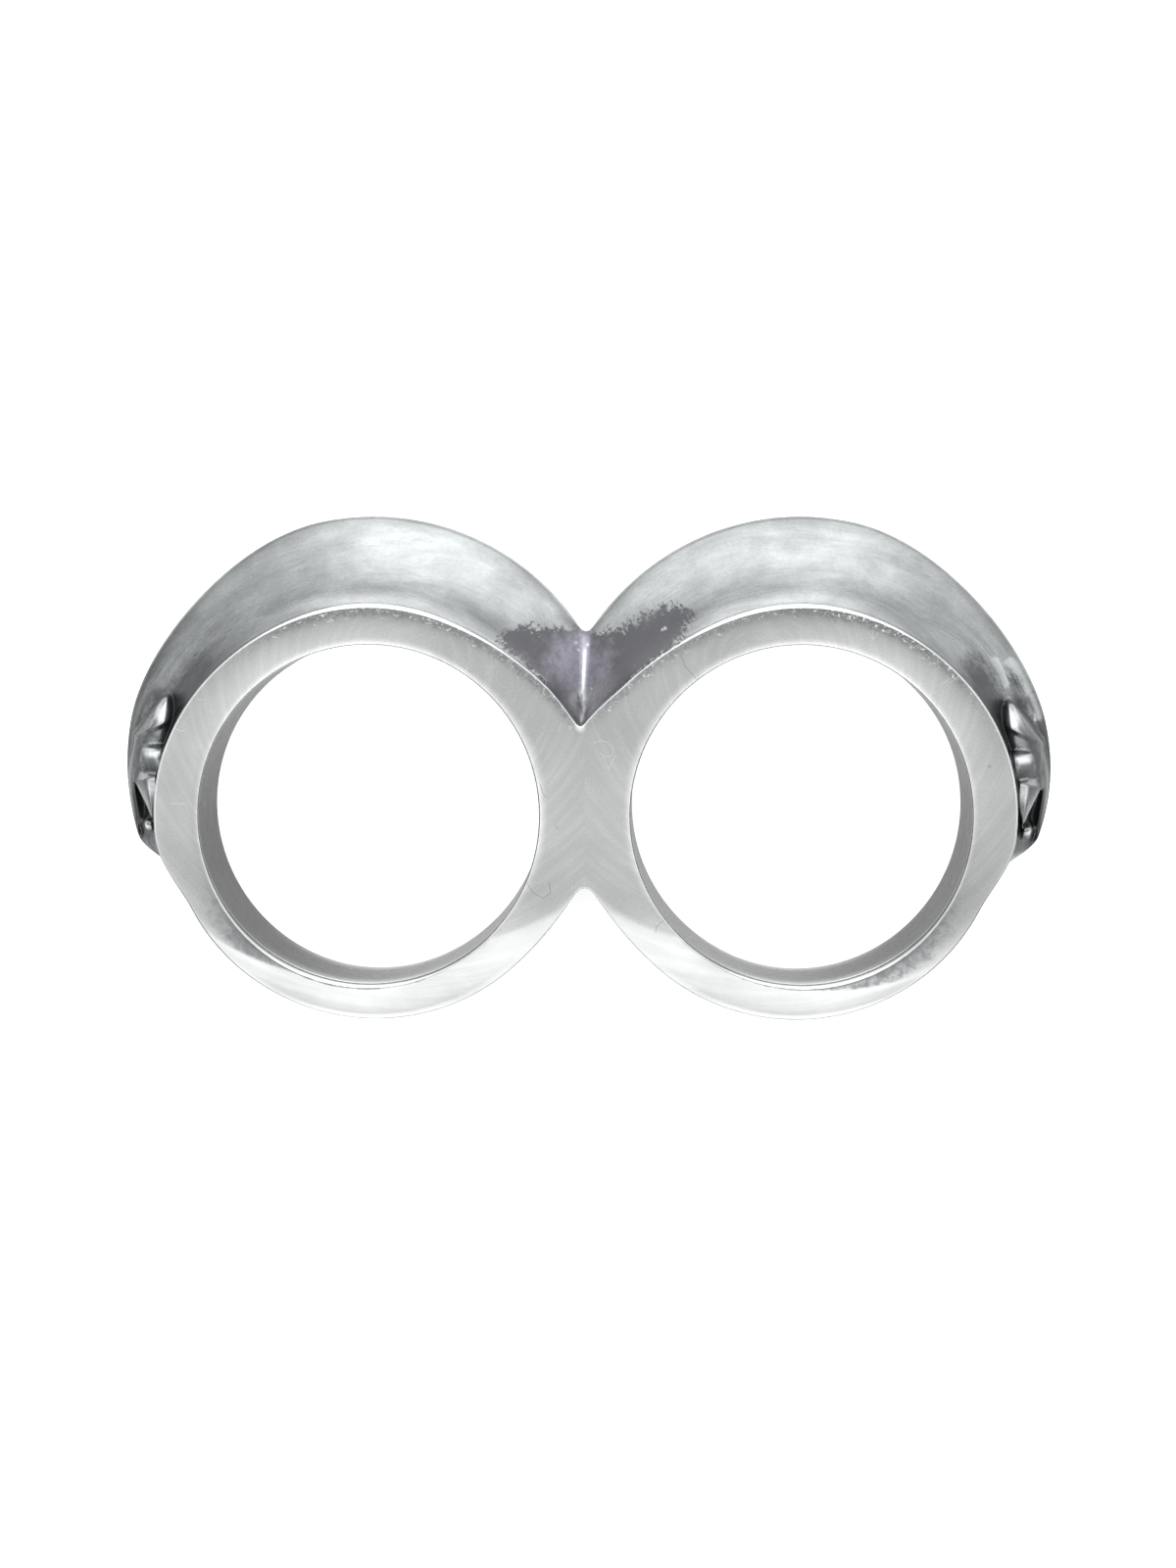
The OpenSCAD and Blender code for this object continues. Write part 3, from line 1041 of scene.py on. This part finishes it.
# The stain's own violet tint lightened as a painted sheen, then painted light on the stain low in the
# groove and in a spot above the tip.
STAIN_SHEEN = (0.38, 0.37, 0.44, 1)
STAIN_LIT_LOW = (0.42, 0.42, 0.44, 1)
STAIN_LIT_SPOT = (0.8, 0.8, 0.82, 1)

# How far apart the two rings' textures are taken.
RINGS_APART = 60.0

# Single scratches, each through a few points, in millimetres from the point
# between the holes' centres.
BRIGHT_SCRATCHES = (
    ((-2.9, 7.8), (-2.5, 7.85), (-2.15, 7.5), (-2.2, 7.1), (-2.4, 6.6)),
    ((0.5, 4.05), (0.85, 4.2), (1.25, 4.1), (1.6, 3.75), (1.55, 3.35), (1.1, 3.3), (0.85, 3.5)),
    ((1.0, 3.35), (1.35, 2.6), (1.7, 3.35)),
    ((-1.25, 5.2), (-1.5, 4.7)),
    ((1.55, 6.3), (1.75, 6.4), (1.95, 6.3)),
    ((-22.75, 4.8), (-22.5, 4.7), (-22.25, 4.72)),
    ((-21.55, 6.45), (-21.25, 6.45)),
    ((-23.1, 0.65), (-22.3, 0.62)),
    ((15.95, 9.8), (15.65, 10.3)),
    ((15.95, 9.8), (15.95, 10.35)),
    ((15.95, 9.8), (16.25, 10.2)),
    ((19.7, 7.3), (20.4, 7.75)),
    ((20.2, 7.4), (21.0, 8.0)),
)
DARK_SCRATCHES = (
    ((-6.94, 8.4), (-6.65, 8.22)),
    ((-6.5, 8.12), (-6.24, 7.96)),
    ((-2.5, 1.8), (-2.35, 1.3), (-2.15, 1.0)),
    ((-1.65, -0.5), (-1.5, -0.75)),
    ((-3.3, -3.6), (-2.9, -4.3), (-2.3, -4.6), (-1.9, -4.3), (-2.0, -3.7)),
    ((4.4, -5.85), (4.0, -6.2), (3.95, -6.55)),
    ((5.3, 8.95), (5.6, 8.3), (6.2, 7.6)),
    ((-22.1, -5.0), (-21.8, -5.7)),
    ((-21.55, -6.1), (-21.1, -6.65)),
)
SKIN_SCRATCHES = (
    ((-19.85, 10.3), (-20.2, 10.1), (-20.15, 9.8), (-20.5, 9.6), (-20.6, 9.2)),
    ((-19.3, 10.9), (-19.6, 10.7)),
)

# Round marks, in the same places: painted glints on the skin, each with its
# reach, a bright spot at the tip of the groove and a pit in the right side face.
SKIN_GLINTS = (
    ((4.45, 10.38), 0.16),
    ((4.3, 10.3), 0.12),
    ((-0.55, 9.5), 0.16),
    ((-0.42, 9.1), 0.13),
    ((0.1, 9.4), 0.17),
    ((0.35, 7.0), 0.09),
)
TIP = ((-0.25, 4.95), 0.42)
PIT = ((22.45, 2.8), 0.16)

# Where the stain has its violet tint with a painted sheen, painted light low in
# the groove and a painted light spot above the tip, and where it is duller.
SHEEN = ((-0.45, 8.6), 2.9)
LOW_LIGHT = ((0, 6.0), 3.1)
LIT_SPOT = ((-0.4, 6.4), 0.65)
DULL = ((0, 6.4), 1.6)


def satin(g, place):
    """The side faces: satin, with painted light and shade and a painted dark reflection beside the
    holes, scuffed at the top rim, with fine scratches.
    """
    cloud = g.noise(place, scale=0.35, detail=3.0)
    grain = g.noise(place, scale=9.0, detail=3.0, roughness=0.6)
    facet = g.round_place(place, FACET_INNER[:2])
    streak = g.noise(g.scaled(facet, 0.15, 2.2, 0.0), detail=4.0, roughness=0.6)
    wear = g.attribute("scuff")
    # Painted light and shade, varied at random and darker in the scuffed band.
    lit_tone = g.times(g.attribute("lit_tone"), g.step(cloud, 0.3, 0.7, 0.96, 1.04))
    lit_tone = g.times(lit_tone, g.step(grain, 0.3, 0.7, 0.975, 1.02))
    lit_tone = g.times(lit_tone, g.step(streak, 0.42, 0.66, 0.97, 1.055))
    lit_tone = g.times(lit_tone, g.math("MULTIPLY_ADD", wear, -0.2, 1.0))
    colour = g.colour(lit_tone, BLACK, SILVER)

    around = g.round_place(place)
    fleck = g.noise(g.scaled(around, 2.6, 2.4, 0.0), detail=6.0, roughness=0.85)
    scuffed = g.step(g.math("MULTIPLY_ADD", wear, 0.25, fleck), 0.6, 0.78)
    scuffed = g.times(scuffed, g.step(wear, 0.02, 0.25))
    colour = g.colour(g.times(scuffed, 0.62), colour, OXIDE)
    well_worn = g.step(wear, 0.1, 0.5)
    spark = g.noise(g.scaled(around, 4.0, 6.0, 0.0), detail=4.0, roughness=0.8)
    spark = g.times(g.step(g.math("MULTIPLY_ADD", wear, 0.14, spark), 0.7, 0.76), well_worn)
    colour = g.colour(g.times(spark, 0.7), colour, SILVER)

    mottle = g.noise(place, scale=2.2, detail=6.0, roughness=0.8)
    # Painted dark reflection beside the holes, mottled.
    dark_reflection = g.step(g.add(g.attribute("dark_reflection"), g.times(g.add(mottle, -0.5), 3.0)), 0.1, 1.2)
    dark_reflection = g.times(dark_reflection, g.step(g.attribute("dark_reflection"), 0.0, 0.3))
    colour = g.colour(g.times(dark_reflection, 0.8), colour, DARK_REFLECTION)

    hairs = g.hairs(place, turn=0.5, stretch=7.0, scale=0.7, width=0.003, seed=3.1)
    crossing = g.hairs(place, turn=-0.9, stretch=7.0, scale=0.7, width=0.003, seed=11.3)
    short = g.hairs(place, turn=0.2, stretch=3.0, scale=3.0, width=0.012, seed=5.7)
    hairs = g.times(g.math("MAXIMUM", hairs, crossing), 0.12)
    hairs = g.math("MAXIMUM", hairs, g.times(short, well_worn))
    hairs = g.math("MAXIMUM", hairs, g.times(g.lines(place, BRIGHT_SCRATCHES, 0.032), 0.42))
    colour = g.colour(g.times(hairs, 0.6), colour, SILVER)
    colour = g.colour(g.near(place, *TIP), colour, SILVER)
    cuts = g.math("MAXIMUM", g.lines(place, DARK_SCRATCHES, 0.035), g.near(place, *PIT))
    colour = g.colour(g.times(cuts, 0.38), colour, OXIDE)

    rough = g.add(g.times(grain, 0.08), 0.22)
    rough = g.add(rough, g.times(g.math("MAXIMUM", scuffed, dark_reflection), 0.14))
    normal = g.bump(cloud, 0.012 * MM)
    normal = g.bump(g.math("SUBTRACT", g.times(grain, 0.12), hairs), 0.003 * MM, normal)
    return colour, rough, normal


def burnished(g, place):
    """The crowns and the outer skin: burnished along the arc, with painted light,
    shade, highlights and glints, stained beside the groove and oxidised between the leaves."""
    around = g.round_place(place)
    broad = g.noise(g.scaled(around, 0.22, 0.5, 0.5), detail=4.0, roughness=0.6, distortion=0.8)
    fine = g.noise(g.scaled(around, 0.5, 5.0, 5.0), detail=3.0, roughness=0.6)
    mottle = g.noise(place, scale=5.0, detail=4.0, roughness=0.65)
    cloud = g.noise(place, scale=0.45, detail=3.0, roughness=0.6)
    # Painted light and shade, varied at random.
    lit_tone = g.times(g.attribute("lit_tone"), g.step(broad, 0.3, 0.7, 0.84, 1.12))
    lit_tone = g.times(lit_tone, g.step(cloud, 0.35, 0.65, 0.92, 1.08))
    lit_tone = g.times(lit_tone, g.step(mottle, 0.35, 0.65, 0.96, 1.04))
    lit_tone = g.times(lit_tone, g.step(fine, 0.3, 0.7, 0.98, 1.02))
    polish_and_highlight = g.attribute("polish_and_highlight")
    # Painted highlights, where the tops are partly really worn smooth, lighten the colour.
    lit_tone = g.mix(g.times(polish_and_highlight, g.step(mottle, 0.3, 0.6, 0.75, 1.0)), lit_tone, 0.9)
    colour = g.colour(g.math("MINIMUM", lit_tone, 1.0), BLACK, BURNISHED)

    spikes = g.add(g.noise(g.scaled(around, 7.0, 1.6, 1.6), detail=4.0, roughness=0.7), -0.5)
    speckle = g.add(mottle, -0.5)
    ragged = g.times(g.add(spikes, g.times(speckle, 1.1)), 2.3)
    stained = g.step(g.add(g.attribute("stain"), ragged), -0.1, 0.35)
    stained = g.times(stained, g.math("SUBTRACT", 1.0, polish_and_highlight))
    sheen = g.times(g.noise(place, scale=0.8, detail=5.0, roughness=0.65), 0.8)
    sheen = g.step(g.add(g.times(g.near(place, *SHEEN), 0.55), sheen), 0.42, 0.95)
    # Painted light on the stain: lighter low in the groove, the sheen, and a lighter spot above the tip.
    dark = g.colour(g.near(place, *LOW_LIGHT), STAIN, STAIN_LIT_LOW)
    dark = g.colour(sheen, dark, STAIN_SHEEN)
    dark = g.colour(g.near(place, *LIT_SPOT), dark, STAIN_LIT_SPOT)
    dark = g.colour(g.step(mottle, 0.35, 0.6, 0.25, 0.0), dark, OXIDE)
    colour = g.colour(g.times(stained, 0.96), colour, dark)

    smear = g.noise(g.scaled(around, 0.5, 1.1, 1.1), detail=6.0, roughness=0.75)
    patchy = g.add(g.times(g.add(smear, -0.5), 2.8), g.times(speckle, 1.2))
    oxide = g.step(g.add(g.attribute("oxide"), patchy), 0.02, 1.12)
    oxide = g.times(oxide, g.step(g.attribute("oxide"), 0.0, 0.25))
    oxide = g.math("MAXIMUM", oxide, g.times(g.lines(place, SKIN_SCRATCHES, 0.05), 0.5))
    colour = g.colour(oxide, colour, OXIDE)
    # Painted glints on the skin.
    glints = g.times(g.lines(place, BRIGHT_SCRATCHES[:1], 0.03), 0.6)
    for spark in SKIN_GLINTS:
        glints = g.math("MAXIMUM", glints, g.near(place, *spark))
    colour = g.colour(g.times(glints, 0.5), colour, SILVER)

    rough = g.add(g.times(fine, 0.14), 0.2)
    rough = g.mix(g.math("MAXIMUM", stained, polish_and_highlight), rough, 0.42)
    rough = g.mix(oxide, rough, 0.62)
    rough = g.mix(g.near(place, *DULL), rough, 0.62)
    normal = g.bump(broad, 0.02 * MM)
    normal = g.bump(fine, 0.004 * MM, normal)
    normal = g.bump(mottle, 0.004 * MM, normal)
    return colour, rough, normal


def worn_bore(g, place):
    """The inside of the finger holes: smooth and grey in painted light and shade, with small pits."""
    cloud = g.noise(place, scale=0.8, detail=4.0, roughness=0.6)
    # Painted light and shade, varied at random.
    lit_tone = g.times(g.attribute("lit_tone"), g.step(cloud, 0.3, 0.7, 0.92, 1.07))
    colour = g.colour(lit_tone, BLACK, SILVER)
    pits = g.step(g.cells(place, 0.9), 0.13, 0.07)
    specks = g.step(g.cells(g.scaled(place, 1, -1, 1), 0.5), 0.1, 0.06)
    colour = g.colour(g.times(pits, 0.5), colour, BLACK)
    colour = g.colour(g.times(specks, 0.28), colour, SILVER)
    normal = g.bump(g.math("SUBTRACT", g.times(cloud, 0.4), pits), 0.01 * MM)
    return colour, g.add(g.times(cloud, 0.1), 0.22), normal


# The metals in the order of their slots: what metal is called with.
METALS = (
    ("satin_silver", satin, 0.9),
    ("burnished_silver", burnished, 0.65),
    ("worn_silver", worn_bore, 0.5),
)


# The stage: floor, light and camera


# The floor reaches this far, in metres, and lies just below the ring.
FLOOR_CORNERS = ((-1, -1), (1, -1), (1, 1), (-1, 1))
FLOOR_HALF = 0.5
FLOOR_DROP = 0.02


def add_floor():
    """A white light table: pale, and lit a little from below."""
    data = bpy.data.meshes.new("floor")
    corners = [(x * FLOOR_HALF, y * FLOOR_HALF, -FLOOR_DROP * MM) for x, y in FLOOR_CORNERS]
    data.from_pydata(corners, [], [(0, 1, 2, 3)])
    material = bpy.data.materials.new("pale_floor")
    material.use_nodes = True
    shader = material.node_tree.nodes["Principled BSDF"]
    shader.inputs["Base Color"].default_value = (0.93, 0.93, 0.93, 1)
    shader.inputs["Roughness"].default_value = 0.9
    shader.inputs["Emission Color"].default_value = (1, 1, 1, 1)
    shader.inputs["Emission Strength"].default_value = 0.55
    data.materials.append(material)
    floor = add_object("floor", data)


# The studio's brightness by the height of a direction: -1 is straight below,
# 0 the horizon and 1 straight above.
SKY_LOW = ((-1.0, 0.5), (0.0, 0.5), (0.35, 1.0), (0.6, 1.8), (0.75, 2.6), (0.88, 2.4))
SKY_HIGH = ((0.93, 1.12), (0.965, 0.98), (0.985, 0.74), (1.0, 0.69))

# How much of that is left low in the tent: towards -Y, +X or -X, and +Y, leaning
# a little to +X, and the heights over which that sets in.
SIDE_LIGHT = ((-1.0, 0.5), (0.0, 0.55), (0.5, 1.0), (0.8, 1.1), (1.0, 1.6))
SIDE_LEAN = 0.15
SIDE_HEIGHTS = (0.85, 0.5)


def ramp(graph, value, stops):
    """Levels by a value from -1 to 1."""
    made = graph.node("ShaderNodeValToRGB", {"Fac": graph.math("MULTIPLY_ADD", value, 0.5, 0.5)})
    elements = made.color_ramp.elements
    for stop, (place, level) in zip(elements, (stops[0], stops[-1])):
        stop.position = (place + 1) / 2
        stop.color = (level, level, level, 1)
    for place, level in stops[1:-1]:
        stop = elements.new((place + 1) / 2)
        stop.color = (level, level, level, 1)
    return made.outputs["Color"]


def add_world():
    """A soft white tent, lit mostly from the knuckle side and greyer straight
    above the ring."""
    world = bpy.data.worlds.new("studio")
    bpy.context.scene.world = world
    world.use_nodes = True
    graph = Graph(world.node_tree)
    direction = graph.node("ShaderNodeTexCoord", {}).outputs["Generated"]
    parts = graph.node("ShaderNodeSeparateXYZ", {0: direction}).outputs
    low = graph.step(parts[2], *SIDE_HEIGHTS)
    side = ramp(graph, graph.math("MULTIPLY_ADD", parts[0], SIDE_LEAN, parts[1]), SIDE_LIGHT)
    level = graph.times(ramp(graph, parts[2], SKY_LOW + SKY_HIGH), graph.mix(low, 1.0, side))
    graph.put(world.node_tree.nodes["Background"].inputs["Color"], level)


# The camera looks at TARGET from the direction that is tilted by TILT from
# straight above, at DISTANCE, with a focal length of FOCAL_PX photo pixels.
TARGET = (0.185, -0.674, 9.0)
TILT = (math.radians(1.197), math.radians(4.271))
DISTANCE = 208.64
FOCAL_PX = 3829.7


def add_camera():
    data = bpy.data.cameras.new("camera")
    data.sensor_fit = "HORIZONTAL"
    data.sensor_width = 36
    data.lens = FOCAL_PX / PHOTO_W * data.sensor_width
    data.clip_start = 0.01
    back = Vector((math.tan(TILT[0]), math.tan(TILT[1]), 1)).normalized()
    right = Vector((0, 1, 0)).cross(back).normalized()
    up = back.cross(right)
    camera = add_object("camera", data)
    rotation = Matrix((right, up, back)).transposed().to_4x4()
    camera.matrix_world = Matrix.Translation((Vector(TARGET) + back * DISTANCE) * MM) @ rotation
    bpy.context.scene.camera = camera


ring = ring_object([metal(*row) for row in METALS])
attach(ring, "root")
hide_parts("double_ring")

add_floor()
add_world()
add_camera()
bpy.context.scene.view_settings.view_transform = "Standard"
